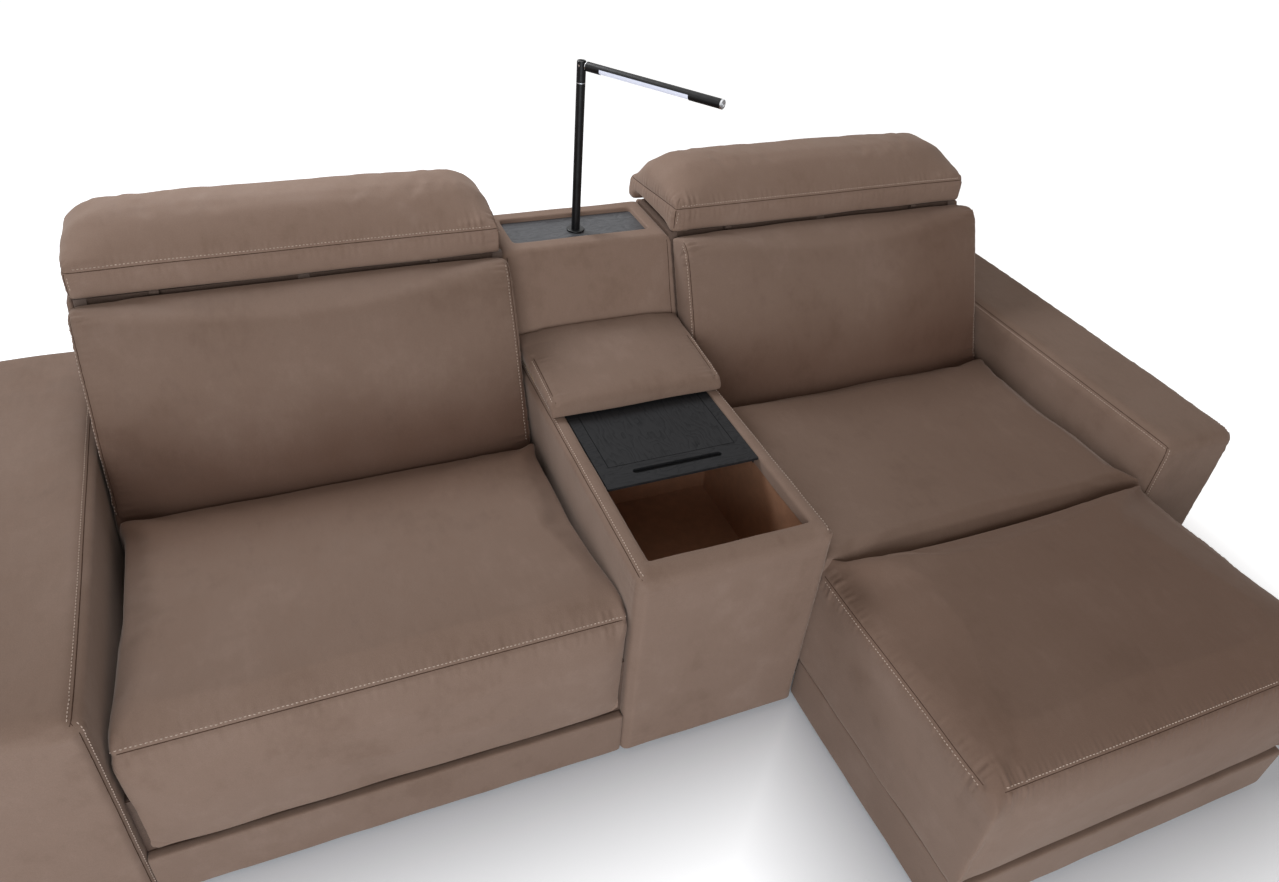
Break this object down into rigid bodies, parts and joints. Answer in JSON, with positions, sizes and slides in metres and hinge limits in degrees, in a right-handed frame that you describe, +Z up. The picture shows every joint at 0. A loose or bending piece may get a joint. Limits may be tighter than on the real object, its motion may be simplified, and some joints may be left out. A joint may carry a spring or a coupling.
{
  "type": "sofa with a storage console",
  "caption": "Two-place leather sofa with a chaise, tilting headrests, and a middle storage console with a sliding lid, bolster and reading lamp.",
  "frame": {"origin": "centre of the footprint on the floor", "axes": "+X to the sitter's left along the sofa (the chaise side), +Y to the back, +Z up"},
  "size_m": [2.805, 1.7984, 1.212],
  "materials": {
    "nubuck": "matt nubuck",
    "strapping": "woven",
    "underlining": "non-woven",
    "black_oak": "open-pored stain",
    "black_plastic": "matt",
    "stop_rubber": "matt",
    "bin_lining": "matt laminate",
    "black_metal": "satin black",
    "chrome": "polished",
    "steel": "zinc plated",
    "diffuser": "satin opal",
    "light_board": "matt",
    "timber": "raw beech and plywood"
  },
  "bodies": {
    "sofa": {"glides": "black_plastic", "bottom_lining": "underlining", "left_plinth": "nubuck", "left_base_frame": "timber", "left_webbing": "strapping", "left_seat_cushion": "nubuck", "left_back_frame": "timber", "left_back_cushion": "nubuck", "left_back_shell": "nubuck", "left_arm_frame": "timber", "left_arm_cover": "nubuck", "left_headrest_hinges": "steel", "right_plinth": "nubuck", "right_base_frame": "timber", "right_webbing": "strapping", "right_seat_cushion": "nubuck", "chaise_cushion": "nubuck", "chaise_side_panels": "nubuck", "right_back_frame": "timber", "right_back_cushion": "nubuck", "right_back_shell": "nubuck", "right_arm_frame": "timber", "right_arm_cover": "nubuck", "right_headrest_hinges": "steel", "console_front_panel": "nubuck", "console_left_panel": "nubuck", "console_right_panel": "nubuck", "console_back_panel": "nubuck", "console_base_board": "timber", "console_bin": "bin_lining", "console_tower": "nubuck", "tray_board": "black_oak", "bolster_board": "timber", "bolster_pad": "nubuck", "lid_rails": "black_metal", "lid_front_rest": "timber", "lid_stops": "stop_rubber", "power_inlet": "black_plastic", "lamp_driver": "black_plastic", "lamp_collar": "black_metal", "lamp_collar_nut": "steel", "lamp_pole": "black_metal", "lamp_trim_ring": "chrome"},
    "left_headrest": {"left_headrest_arms": "steel", "left_headrest_board": "timber", "left_headrest_pad": "nubuck"},
    "right_headrest": {"right_headrest_arms": "steel", "right_headrest_board": "timber", "right_headrest_pad": "nubuck"},
    "lid": {"lid_board": "black_oak", "lid_inset": "black_oak"},
    "lamp_head": {"lamp_fork": "black_metal", "lamp_fold_pin": "chrome"},
    "lamp_arm": {"lamp_knuckle": "chrome", "lamp_arm_tube": "black_metal", "lamp_light_board": "light_board", "lamp_diffuser": "diffuser", "lamp_end_cap": "chrome"},
    "lamp_button": {"lamp_switch": "chrome"}
  },
  "joints": [
    {"name": "left_headrest_tilt", "type": "hinge", "parent": "sofa", "child": "left_headrest", "pos_m": [-0.6925, 0.59417, 0.798], "axis": [1, 0, 0], "range_deg": [0, 60]},
    {"name": "right_headrest_tilt", "type": "hinge", "parent": "sofa", "child": "right_headrest", "pos_m": [0.6925, 0.59417, 0.798], "axis": [1, 0, 0], "range_deg": [0, 60]},
    {"name": "lid_slide", "type": "slide", "parent": "sofa", "child": "lid", "axis": [0, 1, 0], "range_m": [-0.2215, 0.257]},
    {"name": "lamp_swivel", "type": "hinge", "parent": "sofa", "child": "lamp_head", "pos_m": [0, 0.69388, 1.162], "axis": [0, 0, 1], "range_deg": [-160, 160]},
    {"name": "lamp_fold", "type": "hinge", "parent": "lamp_head", "child": "lamp_arm", "pos_m": [0, 0.69388, 1.201], "axis": [-0.829, -0.5592, 0], "range_deg": [-10, 90]},
    {"name": "lamp_switch_press", "type": "slide", "parent": "lamp_arm", "child": "lamp_button", "axis": [-0.5592, 0.829, 0], "range_m": [0, 0.0012], "stiffness_N_per_m": 800}
  ]
}
